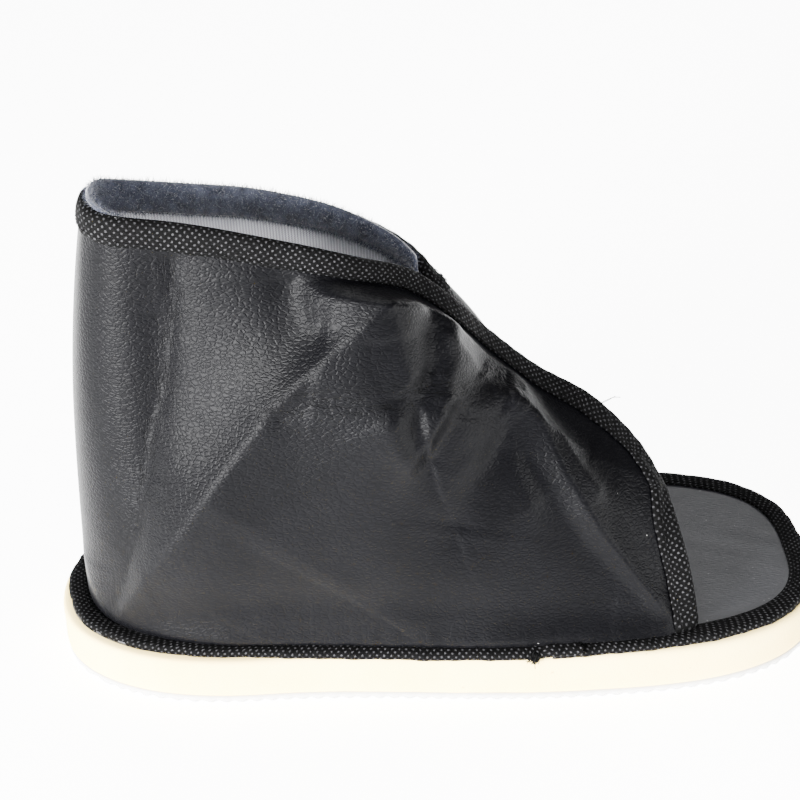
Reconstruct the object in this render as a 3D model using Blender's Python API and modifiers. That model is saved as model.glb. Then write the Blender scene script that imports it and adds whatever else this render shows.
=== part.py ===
# Open-toe shoe worn over a plaster cast: a foam sole, a taped insole and a loose wrapped upper.
# Metres, +Z up, toe towards +X, near flap on the -Y side. Origin on the floor, below the middle of the sole.
import bpy
import numpy as np

# Sole
length = 0.290
ball_width = 0.1196
heel_width = 0.1016
heel_round = 0.0754
toe_round = 0.0945
heel_power = 2.25
toe_power = 2.8
outsole_thick = 0.0025
midsole_thick = 0.0161
midsole_edge = 0.0016
insole_thick = 0.0014
gap = 0.0003

# Binding tape
tape_width = 0.0085
tape_thick = 0.0012
tape_crown = 0.0005
tape_inset = 0.0018
tape_lap_at = 0.181
tape_lap_rise = 0.0006
tape_clear = 0.0006

# Upper
wall = 0.0024
collar_height = 0.1834
near_corner = 0.2350
sag_height = 0.0055
riser = 0.0016
far_corner = 0.2260

# Heights that follow from the sizes
midsole_floor = outsole_thick + gap
midsole_top = midsole_floor + midsole_thick
insole_floor = midsole_top + gap
insole_top = insole_floor + insole_thick
foot_z = insole_top + gap
rise = collar_height - foot_z
half_ball = ball_width / 2

# The wall stands just inside the taped rim. The two flaps keep room between them for both tapes.
foot_inset = tape_inset + tape_width + 2.5 * gap
flap_drop = wall + 2 * (tape_thick + gap) + 0.0014
lap_reach = 0.150 * length
lap_start = 0.060 * length

# Near side of the upper, one row per station from the heel to the flap's front edge.
# at: share of the stitched length from heel to corner. along: share of the shoe's length.
# out: share of half the ball width. up: share of the rise from insole to collar.
# belly, sag: how far the section's middle and its foot stand out, as shares of half the ball width.
near_rows = [
    # at    along  out    up     belly  sag
    (0.00, 0.083, 0.000, 1.000, 0.080, 0.010),
    (0.09, 0.089, 0.150, 0.999, 0.060, 0.010),
    (0.19, 0.118, 0.290, 0.993, 0.020, 0.035),
    (0.30, 0.200, 0.350, 0.978, 0.030, 0.070),
    (0.42, 0.300, 0.418, 0.946, 0.080, 0.075),
    (0.53, 0.395, 0.410, 0.898, 0.150, 0.075),
    (0.61, 0.472, 0.220, 0.821, 0.220, 0.070),
    (0.67, 0.517, 0.150, 0.742, 0.245, 0.065),
    (0.74, 0.562, 0.020, 0.637, 0.240, 0.055),
    (0.81, 0.624, 0.000, 0.533, 0.215, 0.035),
    (0.88, 0.699, 0.040, 0.447, 0.170, 0.015),
    (0.94, 0.753, 0.140, 0.350, 0.150, 0.010),
    (1.00, 0.783, 0.335, 0.270, 0.130, 0.010),
]

# Far side: the same columns up to the instep's ridge, and lap, the share of the shoe's length
# that the flap runs on past the ridge and beneath the near flap.
far_rows = [
    # at    along  out    up     belly  sag    lap
    (0.00, 0.083, 0.000, 1.000, 0.080, 0.010, 0.000),
    (0.09, 0.089, 0.150, 0.995, 0.060, 0.010, 0.000),
    (0.19, 0.118, 0.290, 0.975, 0.020, 0.010, 0.000),
    (0.30, 0.200, 0.350, 0.950, 0.030, 0.020, 0.000),
    (0.43, 0.300, 0.410, 0.915, 0.080, 0.025, 0.000),
    (0.54, 0.395, 0.400, 0.865, 0.150, 0.025, 0.000),
    (0.61, 0.450, 0.310, 0.825, 0.210, 0.025, 0.000),
    (0.67, 0.484, 0.210, 0.787, 0.240, 0.025, 0.018),
    (0.73, 0.513, 0.130, 0.735, 0.250, 0.025, 0.055),
    (0.80, 0.540, 0.110, 0.675, 0.220, 0.020, 0.095),
    (0.87, 0.570, 0.100, 0.595, 0.180, 0.010, 0.110),
    (0.94, 0.598, 0.080, 0.525, 0.140, 0.010, 0.112),
    (1.00, 0.625, 0.060, 0.460, 0.110, 0.010, 0.108),
]

# Mesh steps
loop_steps = 72
column_step = 0.008
row_count = 20
foot_steps = (0.0, 0.0016, 0.0048)
collar_turn = (0.58, 0.78)
under_flap = (0.78, 0.66)
dense_rows = 101
dense_columns = 181


def half_width(x):
    """Half the sole's width at x from the heel."""
    blend = np.clip((x - heel_round) / (length - toe_round - heel_round), 0, 1)
    w = (heel_width + (ball_width - heel_width) * (0.5 - 0.5 * np.cos(np.pi * blend))) / 2
    heel = np.clip((heel_round - x) / heel_round, 0, 1)
    toe = np.clip((x - length + toe_round) / toe_round, 0, 1)
    w = w * np.clip(1 - heel ** heel_power, 0, 1) ** (1 / heel_power)
    return w * np.clip(1 - toe ** toe_power, 0, 1) ** (1 / toe_power)


def side_line(inset, steps=800):
    """Near half of the sole's outline, moved inwards, from the heel's middle to the toe's tip."""
    x = length * (0.5 - 0.5 * np.cos(np.linspace(0, np.pi, steps)))
    line = np.column_stack([x, -half_width(x)])
    run = np.gradient(line, axis=0)
    run[0], run[-1] = (0, -1), (0, 1)
    run /= np.linalg.norm(run, axis=1)[:, None]
    return line + inset * np.column_stack([-run[:, 1], run[:, 0]])


def spaced(line, shares):
    """Points at shares of a polyline's length."""
    step = np.linalg.norm(np.diff(line, axis=0), axis=1)
    run = np.concatenate([[0], np.cumsum(step)])
    run = run / run[-1]
    return np.column_stack([np.interp(shares, run, line[:, k]) for k in range(line.shape[1])])


def outline(inset, steps=loop_steps):
    """The whole outline as evenly spaced points, anticlockwise seen from above, heel first."""
    near = spaced(side_line(inset), np.linspace(0, 1, steps // 2 + 1))
    far = near[-2:0:-1] * (1, -1)
    loop = np.concatenate([near, far])
    loop[:, 0] -= length / 2
    return loop


def column(rows, index, at):
    """One column of a table, read smoothly between its rows."""
    t = np.array([row[0] for row in rows])
    y = np.array([row[index] for row in rows])
    slope = np.gradient(y, t)
    k = int(np.clip(np.searchsorted(t, at) - 1, 0, len(t) - 2))
    h = t[k + 1] - t[k]
    u = (at - t[k]) / h
    return ((1 + 2 * u) * (1 - u) ** 2 * y[k] + u * (1 - u) ** 2 * h * slope[k]
            + u * u * (3 - 2 * u) * y[k + 1] + u * u * (u - 1) * h * slope[k + 1])


def smooth_curve(points, count, corner=None, beyond=0.0):
    """An evenly spaced line of count points that runs smoothly through the given ones.
    With a corner, the line ends a stated way beyond that point."""
    pts = np.array(points)
    chord = np.linalg.norm(np.diff(pts, axis=0), axis=1) ** 0.5
    t = np.concatenate([[0], np.cumsum(chord)])
    slope = np.gradient(pts, t, axis=0, edge_order=2 if len(pts) > 2 else 1)
    fine = []
    for k in range(len(pts) - 1):
        h = t[k + 1] - t[k]
        u = np.linspace(0, 1, 40, endpoint=False)[:, None]
        fine.append((1 + 2 * u) * (1 - u) ** 2 * pts[k] + u * (1 - u) ** 2 * h * slope[k]
                    + u * u * (3 - 2 * u) * pts[k + 1] + u * u * (u - 1) * h * slope[k + 1])
    fine.append(pts[-1:])
    line = np.concatenate(fine)
    if corner is None:
        return spaced(line, np.linspace(0, 1, count))
    step = np.linalg.norm(np.diff(line, axis=0), axis=1)
    kept = (step[:40 * corner].sum() + beyond) / step.sum()
    return spaced(line, np.linspace(0, min(kept, 1), count))


def foot_point(at, corner, side):
    """Where the wall stands on the insole, and the way out of the shoe there."""
    line = side_line(foot_inset)
    step = np.concatenate([[0], np.cumsum(np.linalg.norm(np.diff(line, axis=0), axis=1))])
    reach = np.interp(corner, line[:, 0], step) * at
    x, y = (np.interp(reach, step, line[:, k]) for k in range(2))
    k = int(np.clip(np.searchsorted(step, reach), 1, len(step) - 2))
    run = line[k + 1] - line[k - 1]
    run /= np.linalg.norm(run)
    return np.array([x - length / 2, -side * y, foot_z]), np.array([run[1], side * run[0], 0])


def section(rows, at, corner, side):
    """Foot, riser, sag, belly and top of one section. side is -1 for near and +1 for far."""
    foot, out = foot_point(at, corner, side)
    if at == 0:
        out = np.array([-1.0, 0, 0])
    top = np.array([(column(rows, 1, at) - 0.5) * length, side * column(rows, 2, at) * half_ball,
                    foot_z + column(rows, 3, at) * rise])
    chord = (top - foot) / np.linalg.norm(top - foot)
    push = out - chord * out.dot(chord)
    push /= np.linalg.norm(push)
    belly = foot + 0.55 * (top - foot) + push * column(rows, 4, at) * half_ball
    sag = foot + np.array([0, 0, sag_height]) + out * column(rows, 5, at) * half_ball
    return foot, foot + np.array([0, 0, riser]), sag, belly, top


def near_sheet():
    """Outer face of the near side as a dense grid, heel first, foot to edge."""
    return np.array([smooth_curve(section(near_rows, at, near_corner, -1), dense_rows)
                     for at in np.linspace(0, 1, dense_columns)])


def normals(grid):
    """Unit normals of a grid of points, out of the shoe on the near side's winding."""
    n = np.cross(np.gradient(grid, axis=0), np.gradient(grid, axis=1))
    return n / np.linalg.norm(n, axis=2)[:, :, None]


def far_sheet(near):
    """Outer face of the far side. Past the ridge it dips beneath the near flap."""
    inward = -normals(near)
    edge_x = near[:, -1, 0]
    grid = []
    for at in np.linspace(0, 1, dense_columns):
        points = list(section(far_rows, at, far_corner, 1))
        lap = max(column(far_rows, 6, at) * length, 0)
        line = smooth_curve(points, dense_rows)
        if lap > 0:
            i = int(np.searchsorted(edge_x, points[-1][0]))
            tall = np.linalg.norm(np.diff(near[i], axis=0), axis=1).sum()
            for down in (0.3, 1.0):
                j = int(round((1 - down * lap_reach / tall) * (dense_rows - 1)))
                points.append(near[i, j] + inward[i, j] * flap_drop)
            share = min(lap / lap_start, 1)
            share = share * share * (3 - 2 * share)
            line = (1 - share) * line + share * smooth_curve(points, dense_rows, 4, lap)
        grid.append(line)
    return np.array(grid)


near_grid = near_sheet()
far_grid = far_sheet(near_grid)
sheet = np.concatenate([near_grid[::-1], far_grid[1:]])
sheet_out = -normals(sheet)


def grid_point(grid, u, v):
    """A point of a dense grid at shares u and v."""
    a = np.clip(u, 0, 1) * (grid.shape[0] - 1)
    b = np.clip(v, 0, 1) * (grid.shape[1] - 1)
    i, j = min(int(a), grid.shape[0] - 2), min(int(b), grid.shape[1] - 2)
    a, b = a - i, b - j
    return ((1 - a) * (1 - b) * grid[i, j] + a * (1 - b) * grid[i + 1, j]
            + (1 - a) * b * grid[i, j + 1] + a * b * grid[i + 1, j + 1])


def clear_scene():
    for obj in list(bpy.data.objects):
        bpy.data.objects.remove(obj, do_unlink=True)


def material(name, colour, roughness):
    mat = bpy.data.materials.new(name)
    mat.use_nodes = True
    shader = mat.node_tree.nodes["Principled BSDF"]
    shader.inputs["Base Color"].default_value = (*colour, 1)
    shader.inputs["Roughness"].default_value = roughness
    shader.inputs["Metallic"].default_value = 0
    return mat


def add_mesh(name, verts, faces, mat):
    mesh = bpy.data.meshes.new(name)
    mesh.from_pydata([tuple(v) for v in verts], [], faces)
    mesh.materials.append(mat)
    mesh.update()
    obj = bpy.data.objects.new(name, mesh)
    shoe.objects.link(obj)
    return obj


def flat_sheet(name, inset, floor, thick, mat, edge=0.0):
    """A level slab with the sole's outline, its rims rounded by edge."""
    curve = bpy.data.curves.new(name, "CURVE")
    curve.dimensions = "2D"
    curve.fill_mode = "BOTH"
    curve.extrude = thick / 2
    spline = curve.splines.new("POLY")
    loop = outline(inset)
    spline.points.add(len(loop) - 1)
    for point, (x, y) in zip(spline.points, loop):
        point.co = (x, y, 0, 1)
    spline.use_cyclic_u = True
    curve.materials.append(mat)
    obj = bpy.data.objects.new(name, curve)
    obj.location.z = floor + thick / 2
    shoe.objects.link(obj)
    if edge:
        weld = obj.modifiers.new("Weld", "WELD")
        weld.merge_threshold = 0.0001
        bevel = obj.modifiers.new("Bevel", "BEVEL")
        bevel.width = edge
        bevel.segments = 2
        bevel.limit_method = "ANGLE"
        bevel.angle_limit = 1.0
    return obj


def ring_faces(count, size, closed):
    """Quads between rings of points, with end caps where the run is open."""
    faces = []
    for i in range(count if closed else count - 1):
        a, b = i * size, (i + 1) % count * size
        faces += [(a + j, b + j, b + (j + 1) % size, a + (j + 1) % size) for j in range(size)]
    if not closed:
        faces.append(tuple(range(size)))
        faces.append(tuple((count - 1) * size + j for j in range(size))[::-1])
    return faces


def rim_tape(name, mat):
    """Tape folded over the insole's edge, with its ends lapped on the near side."""
    low, high = insole_floor, insole_top + gap + tape_thick
    profile = [
        # inset from the sole's edge, height
        (tape_inset, low),
        (tape_inset, high - 0.6 * tape_thick),
        (tape_inset + 0.5 * tape_thick, high),
        (tape_inset + 0.45 * tape_width, high + tape_crown),
        (tape_inset + tape_width - 0.3 * tape_thick, high),
        (tape_inset + tape_width, insole_top + gap),
        (tape_inset + tape_thick, insole_top + gap),
        (tape_inset + tape_thick, low),
    ]
    loops = [outline(inset) for inset, height in profile]
    lap_x = tape_lap_at - length / 2
    verts = []
    for i in range(loop_steps):
        x, y = loops[0][i]
        raised = tape_lap_rise if y < 0 and lap_x < x < lap_x + 1.5 * tape_width else 0.0
        for j, (inset, height) in enumerate(profile):
            verts.append((*loops[j][i], height + (raised if j in (2, 3, 4) else 0.0)))
    return add_mesh(name, verts, ring_faces(loop_steps, len(profile), True), mat)


def columns():
    """Shares along the sheet, near front edge to far front edge, with the tape's width at each end."""
    line = sheet[:, dense_rows // 2]
    run = np.concatenate([[0], np.cumsum(np.linalg.norm(np.diff(line, axis=0), axis=1))])
    ends = np.array([0, 0.5, 1]) * tape_width
    inner = np.linspace(tape_width, run[-1] - tape_width, round(run[-1] / column_step))[1:-1]
    stops = np.concatenate([ends, inner, run[-1] - ends[::-1]])
    stops = np.interp(stops, run, np.linspace(0, 1, len(run)))
    between = (stops[1:] + stops[:-1]) / 2
    turn = (between > 0.5 + collar_turn[0] / 2) & (between < 0.5 + collar_turn[1] / 2)
    return np.sort(np.concatenate([stops, between[turn]]))


def column_line(u):
    """One column of the mesh as shares from foot to edge, with the tape's width at the top."""
    line = np.array([grid_point(sheet, u, v) for v in np.linspace(0, 1, dense_rows)])
    tall = np.linalg.norm(np.diff(line, axis=0), axis=1).sum()
    foot = np.array(foot_steps) / tall
    edge = 1 - np.array([1, 0.5, 0]) * tape_width / tall
    middle = np.linspace(foot[-1], edge[0], row_count - len(foot) - len(edge) + 2)[1:-1]
    return np.concatenate([foot, middle, edge])


def wrapped_upper(name, mat):
    """The upper's outer face as an open sheet, thickened inwards by its wall."""
    verts, faces = [], []
    stops = columns()
    for u in stops:
        verts += [grid_point(sheet, u, v) for v in column_line(u)]
    for i in range(len(stops) - 1):
        for j in range(row_count - 1):
            a, b = i * row_count + j, (i + 1) * row_count + j
            faces.append((a, a + 1, b + 1, b))
    obj = add_mesh(name, verts, faces, mat)
    solid = obj.modifiers.new("Wall", "SOLIDIFY")
    solid.thickness = wall
    solid.offset = -1
    solid.use_even_offset = True
    solid.use_rim = True
    return obj


def on_sheet(place, way):
    """A place dropped onto the sheet, and the sheet's normal there, on the layer that faces way."""
    points, ways = sheet.reshape(-1, 3), sheet_out.reshape(-1, 3)
    away = np.linalg.norm(points - place, axis=1) + length * (ways @ way < 0.3)
    k = int(np.argmin(away))
    return place - ways[k] * ways[k].dot(place - points[k]), ways[k]


def edge_station(u, v):
    """A point of the upper's free edge, the sheet's normal there and the way into the sheet."""
    step = 0.01
    run = np.zeros(3)
    if u in (0, 1):
        run += (1 if u == 0 else -1) * (grid_point(sheet, u, v + step) - grid_point(sheet, u, v - step))
    if v == 1:
        along = grid_point(sheet, u + step, v) - grid_point(sheet, u - step, v)
        run += along / np.linalg.norm(along) * max(np.linalg.norm(run), 1e-6)
    out = grid_point(sheet_out, u, v)
    out /= np.linalg.norm(out)
    into = np.cross(out, run)
    return grid_point(sheet, u, v), out, into / np.linalg.norm(into)


def tape_runs():
    """Where the edge tape's sections stand: up the near front edge and round the top, and up the
    far front edge. Both runs end out of sight beneath the near flap."""
    rim_top = insole_top + gap + tape_thick + tape_crown + 2 * gap
    fronts = []
    for u in (0, 1):
        line = np.array([grid_point(sheet, u, v) for v in np.linspace(0, 1, dense_rows)])
        start = np.interp(rim_top, line[:, 2], np.linspace(0, 1, dense_rows))
        fronts.append([start] + [v for v in column_line(u) if v > start + 0.01])
    top = [u for u in columns() if 0 < u < 0.5 + under_flap[0] / 2]
    main = [(0, v) for v in fronts[0]] + [(u, 1) for u in top]
    far = [(1, v) for v in fronts[1] if v < under_flap[1]]
    return main, far[::-1]


def edge_tape(name, run, mat):
    """Tape folded over the upper's free edge: a leg on the outer face and a cap over the edge."""
    outer = tape_clear + tape_thick
    profile = [
        # share of the tape's width in from the edge, way out from the upper's outer face
        (1.0, tape_clear),
        (1.0, outer - 0.3 * tape_thick),
        (0.5, outer),
        (0.0, outer),
        (-outer / tape_width, -0.1 * wall),
        (-outer / tape_width, -0.9 * wall),
        (-tape_clear / tape_width, -0.9 * wall),
        (-tape_clear / tape_width, tape_clear),
        (0.5, tape_clear),
    ]
    verts = []
    for u, v in run:
        edge, out, into = edge_station(u, v)
        for share, away in reversed(profile):
            place, way = edge + into * share * tape_width, out
            if share > 0:
                place, way = on_sheet(place, out)
            verts.append(place + way * away)
    return add_mesh(name, verts, ring_faces(len(run), len(profile), False), mat)


clear_scene()
shoe = bpy.data.collections.new("cast_shoe")
bpy.context.scene.collection.children.link(shoe)

white = material("outsole_white", (0.86, 0.86, 0.84), 0.6)
cream = material("foam_cream", (0.90, 0.84, 0.70), 0.7)
grey = material("insole_grey", (0.11, 0.11, 0.12), 0.45)
black = material("binding_black", (0.018, 0.018, 0.02), 0.85)
charcoal = material("upper_charcoal", (0.06, 0.06, 0.065), 0.5)

flat_sheet("outsole", 0.0006, 0, outsole_thick, white)
flat_sheet("midsole", 0, midsole_floor, midsole_thick, cream, midsole_edge)
flat_sheet("insole", tape_inset + tape_thick + gap, insole_floor, insole_thick, grey)
rim_tape("insole_binding", black)
wrapped_upper("upper", charcoal)
main_run, far_run = tape_runs()
edge_tape("edge_binding", main_run, black)
edge_tape("far_flap_binding", far_run, black)
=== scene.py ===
import math

import bpy
import numpy as np
from mathutils import Matrix, Vector
from mathutils.kdtree import KDTree


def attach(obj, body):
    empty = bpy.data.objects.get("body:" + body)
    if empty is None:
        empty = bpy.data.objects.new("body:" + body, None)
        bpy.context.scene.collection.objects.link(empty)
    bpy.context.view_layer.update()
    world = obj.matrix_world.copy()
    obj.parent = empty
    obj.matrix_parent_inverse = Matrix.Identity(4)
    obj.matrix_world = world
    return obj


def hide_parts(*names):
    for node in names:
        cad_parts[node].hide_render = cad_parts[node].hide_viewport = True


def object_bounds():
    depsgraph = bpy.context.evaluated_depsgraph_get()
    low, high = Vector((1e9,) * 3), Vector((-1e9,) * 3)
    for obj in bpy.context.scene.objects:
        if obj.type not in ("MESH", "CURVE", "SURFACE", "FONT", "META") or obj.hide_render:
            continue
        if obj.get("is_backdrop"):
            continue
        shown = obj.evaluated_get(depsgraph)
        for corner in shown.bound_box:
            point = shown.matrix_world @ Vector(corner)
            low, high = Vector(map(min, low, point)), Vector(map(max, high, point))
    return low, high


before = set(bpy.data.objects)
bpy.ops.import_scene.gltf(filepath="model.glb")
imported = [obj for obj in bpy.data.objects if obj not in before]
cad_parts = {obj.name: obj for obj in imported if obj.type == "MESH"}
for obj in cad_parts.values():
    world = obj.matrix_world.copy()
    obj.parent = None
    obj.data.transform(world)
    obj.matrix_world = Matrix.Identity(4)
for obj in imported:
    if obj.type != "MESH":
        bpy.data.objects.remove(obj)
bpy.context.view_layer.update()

# The view: from the near side, looking down over the flap. Heel to the left, toe to the right.
camera_place, lens = (-0.0488, -0.6012, 0.4562), 86.0
yaw, pitch, roll = math.radians(3.35), math.radians(30.88), math.radians(-1.35)
look = Vector((math.sin(yaw) * math.cos(pitch), math.cos(yaw) * math.cos(pitch), -math.sin(pitch)))
right = Vector((math.cos(yaw), -math.sin(yaw), 0))
over = right.cross(look)
right, over = (math.cos(roll) * right + math.sin(roll) * over,
               math.cos(roll) * over - math.sin(roll) * right)
camera = bpy.data.objects.new("camera", bpy.data.cameras.new("camera"))
camera.matrix_world = (Matrix.Translation(camera_place)
                       @ Matrix((right, over, -look)).transposed().to_4x4())
camera.data.sensor_width = 36
camera.data.lens = lens
camera.data.clip_start = 0.01
bpy.context.scene.collection.objects.link(camera)
bpy.context.scene.camera = camera


# The studio: a white floor that glows as a lit sweep does and fades in front of the shoe. A strong
# soft box stands low beside the heel, with weak ones overhead, high in front and beyond the toe.
def add(tree, kind, inputs=None, **settings):
    """A node with its settings made and its inputs linked or set."""
    made = tree.nodes.new(kind if "Node" in kind else "ShaderNode" + kind)
    for key, value in settings.items():
        setattr(made, key, value)
    for key, value in (inputs or {}).items():
        if isinstance(value, bpy.types.NodeSocket):
            tree.links.new(value, made.inputs[key])
        else:
            made.inputs[key].default_value = value
    return made


def maths(tree, operation, *values):
    """A sum worked out on one to three values."""
    return add(tree, "Math", dict(enumerate(values)), operation=operation).outputs[0]


def ranged(tree, value, low, high, start, stop, **settings):
    """A value's run from low to high, turned into one from start to stop."""
    return add(tree, "MapRange", {0: value, 1: low, 2: high, 3: start, 4: stop}, **settings).outputs[0]


def noise(tree, where, scale, detail, roughness=0.5):
    """A cloudy pattern between 0 and 1."""
    inputs = {"Vector": where, "Scale": scale, "Detail": detail, "Roughness": roughness}
    return add(tree, "TexNoise", inputs).outputs["Fac"]


def ramp(tree, value, low, high, start=0.0, stop=1.0):
    """A colour that goes from low to high as a value goes from start to stop."""
    made = add(tree, "ValToRGB", {"Fac": value})
    for element, place, colour in zip(made.color_ramp.elements, (start, stop), (low, high)):
        element.position = place
        element.color = (*colour, 1)
    return made.outputs["Color"]


def bumped(tree, shader, height, strength, distance):
    """Gives a shader relief from a height."""
    bump = add(tree, "Bump", {"Height": height, "Strength": strength, "Distance": distance})
    tree.links.new(bump.outputs["Normal"], shader.inputs["Normal"])


def finish(name, colour, roughness, **more):
    """A new finish: its material, its tree and its shader."""
    made = bpy.data.materials.new(name)
    made.use_nodes = True
    shader = made.node_tree.nodes["Principled BSDF"]
    shader.inputs["Base Color"].default_value = (*colour, 1)
    shader.inputs["Roughness"].default_value = roughness
    for key, value in more.items():
        shader.inputs[key.replace("_", " ")].default_value = value
    return made, made.node_tree, shader


def mesh_piece(name, points, faces, look_of):
    """A smooth mesh with its place in its points."""
    mesh = bpy.data.meshes.new(name)
    mesh.from_pydata([tuple(p) for p in points], [], faces)
    mesh.materials.append(look_of)
    mesh.polygons.foreach_set("use_smooth", [True] * len(mesh.polygons))
    mesh.update()
    made = bpy.data.objects.new(name, mesh)
    bpy.context.scene.collection.objects.link(made)
    return made


def plain_mesh(made, step):
    """Applies a piece's one modifier and leaves the plain mesh."""
    depsgraph = bpy.context.evaluated_depsgraph_get()
    done = bpy.data.meshes.new_from_object(made.evaluated_get(depsgraph))
    made.modifiers.remove(step)
    made.data = done


def walled(made, thickness):
    """Thickens a sheet inwards."""
    step = made.modifiers.new("wall", "SOLIDIFY")
    step.thickness = thickness
    step.offset = -1
    step.use_rim = True
    plain_mesh(made, step)


glow, dim_at, full_at, dimmest = 9.0, -0.42, -0.15, 0.12
sweep_white, tree, shader = finish("sweep_white", (0.90, 0.90, 0.90), 0.9, Emission_Color=(1, 1, 1, 1),
                                   Emission_Strength=glow, Specular_IOR_Level=0.0)
where = add(tree, "SeparateXYZ", {0: add(tree, "TexCoord").outputs["Object"]})
lit = ranged(tree, where.outputs[1], dim_at, full_at, dimmest, 1.0, interpolation_type="SMOOTHSTEP")
tree.links.new(lit, shader.inputs["Emission Color"])
floor = mesh_piece("floor", [(-4, -4, 0), (4, -4, 0), (4, 6, 0), (-4, 6, 0)], [(0, 1, 2, 3)], sweep_white)
floor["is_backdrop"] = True

world = bpy.data.worlds.new("studio")
world.use_nodes = True
world.node_tree.nodes["Background"].inputs["Color"].default_value = (1, 1, 1, 1)
world.node_tree.nodes["Background"].inputs["Strength"].default_value = 0.05
bpy.context.scene.world = world

soft_boxes = [
    # name          place                 aimed at            size   watts
    ("overhead",    (0.10, 0.75, 1.35),   (0.0, 0.0, 0.00),   0.90,  30),
    ("heel_side",   (-1.00, -1.08, 0.24), (0.0, 0.0, 0.10),   0.60,  285),
    ("front_top",   (-0.35, -0.90, 1.25), (0.0, 0.0, 0.10),   0.60,  34),
    ("toe_fill",    (1.15, -0.62, 0.34),  (0.0, 0.0, 0.08),   0.50,  34),
]
for name, place, aim, size, watts in soft_boxes:
    lamp = bpy.data.lights.new(name, "AREA")
    lamp.size = size
    lamp.energy = watts
    box = bpy.data.objects.new(name, lamp)
    box.location = place
    box.rotation_euler = (Vector(aim) - Vector(place)).to_track_quat("-Z", "Y").to_euler()
    bpy.context.scene.collection.objects.link(box)


# Outsole: a thin white rubber sheet glued under the foam. Moulded in one piece, its underside has
# fine wavy ribs from side to side, which scallop its lower edge.
length, ball_width, heel_width = 0.290, 0.1196, 0.1016
heel_round, toe_round, heel_power, toe_power = 0.0754, 0.0945, 2.25, 2.8
outsole_thick, midsole_thick, insole_thick, gap = 0.0025, 0.0161, 0.0014, 0.0003
outsole_inset, insole_inset = 0.0006, 0.0033
rib_pitch, rib_depth, rib_sway, rib_sway_pitch = 0.0056, 0.0009, 0.0012, 0.016


def run_along(points):
    """Each point's distance along a line of points."""
    return np.concatenate([[0], np.cumsum(np.linalg.norm(np.diff(points, axis=0), axis=1))])


def unit(vectors):
    """Vectors at a length of one."""
    return vectors / np.linalg.norm(vectors, axis=-1, keepdims=True)


def eased(share):
    """A share from 0 to 1 that starts and ends softly."""
    return share * share * (3 - 2 * share)


def waves(place, parts):
    """A sum of waves, each with its height, rate and start."""
    return sum(height * np.sin(rate * place + start) for height, rate, start in parts)


def half_width(x):
    """Half the sole's width at x from the heel."""
    blend = np.clip((x - heel_round) / (length - toe_round - heel_round), 0, 1)
    w = (heel_width + (ball_width - heel_width) * (0.5 - 0.5 * np.cos(np.pi * blend))) / 2
    heel = np.clip((heel_round - x) / heel_round, 0, 1)
    toe = np.clip((x - length + toe_round) / toe_round, 0, 1)
    w = w * np.clip(1 - heel ** heel_power, 0, 1) ** (1 / heel_power)
    return w * np.clip(1 - toe ** toe_power, 0, 1) ** (1 / toe_power)


def side_line(inset, steps=1600):
    """Near half of the sole's outline, moved inwards, from the heel's middle to the toe's tip."""
    x = length * (0.5 - 0.5 * np.cos(np.linspace(0, np.pi, steps)))
    line = np.column_stack([x, -half_width(x)])
    run = np.gradient(line, axis=0)
    run[0], run[-1] = (0, -1), (0, 1)
    run = unit(run)
    return line + inset * np.column_stack([-run[:, 1], run[:, 0]])


def spaced(line, shares):
    """Points at shares of a polyline's length."""
    run = run_along(line)
    return np.column_stack([np.interp(shares, run / run[-1], line[:, k]) for k in range(line.shape[1])])


def outline(inset, steps):
    """The whole outline as evenly spaced points, anticlockwise seen from above, heel first."""
    near = spaced(side_line(inset), np.linspace(0, 1, steps // 2 + 1))
    loop = np.concatenate([near, near[-2:0:-1] * (1, -1)])
    loop[:, 0] -= length / 2
    return loop


def sole_field(inset, columns, rows):
    """Points that fill the outline, column by column from the heel, near side first."""
    line = side_line(inset)
    x = np.linspace(0, 1, columns)
    x = 0.75 * x + 0.25 * (0.5 - 0.5 * np.cos(np.pi * x))
    x = line[0, 0] + (line[-1, 0] - line[0, 0]) * (0.0004 + 0.9992 * x)
    half = -np.interp(x, line[:, 0], line[:, 1])
    share = np.sin(np.linspace(-0.5, 0.5, rows) * np.pi) * 0.4 + np.linspace(-1, 1, rows) * 0.6
    return np.stack([np.repeat(x - length / 2, rows), np.outer(half, share).ravel()], 1)


def field_faces(columns, rows, start=0):
    """Quads between the columns and rows of a field, facing up."""
    return [(start + i * rows + j, start + (i + 1) * rows + j, start + (i + 1) * rows + j + 1,
             start + i * rows + j + 1) for i in range(columns - 1) for j in range(rows - 1)]


def field_rim(columns, rows):
    """The field's outer points, anticlockwise seen from above."""
    return ([i * rows for i in range(columns)] + [(columns - 1) * rows + j for j in range(1, rows)]
            + [i * rows + rows - 1 for i in range(columns - 2, -1, -1)] + list(range(rows - 2, 0, -1)))


def slab(name, field, low, high, columns, rows, look_of):
    """A closed slab: a field for its underside and one for its top, with heights of their own."""
    n = len(field)
    points = np.concatenate([np.column_stack([field, low]), np.column_stack([field, high])])
    rim = field_rim(columns, rows)
    faces = [f[::-1] for f in field_faces(columns, rows)] + field_faces(columns, rows, n)
    faces += [(a, b, b + n, a + n) for a, b in zip(rim, rim[1:] + rim[:1])]
    return mesh_piece(name, points, faces, look_of)


rubber_white, tree, shader = finish("rubber_white", (0.88, 0.88, 0.87), 0.55)
where = add(tree, "TexCoord").outputs["Object"]
clouds = noise(tree, where, 35.0, 4.0)
# The white rubber's colour is lowered to a mid grey as painted shade, so the sheet's edge shows against the
# glowing floor. The cloudy pattern varies it a little.
tree.links.new(ramp(tree, clouds, (0.52, 0.52, 0.52), (0.60, 0.60, 0.60)), shader.inputs["Base Color"])
bumped(tree, shader, noise(tree, where, 900.0, 3.0), 0.25, 0.0002)

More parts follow.
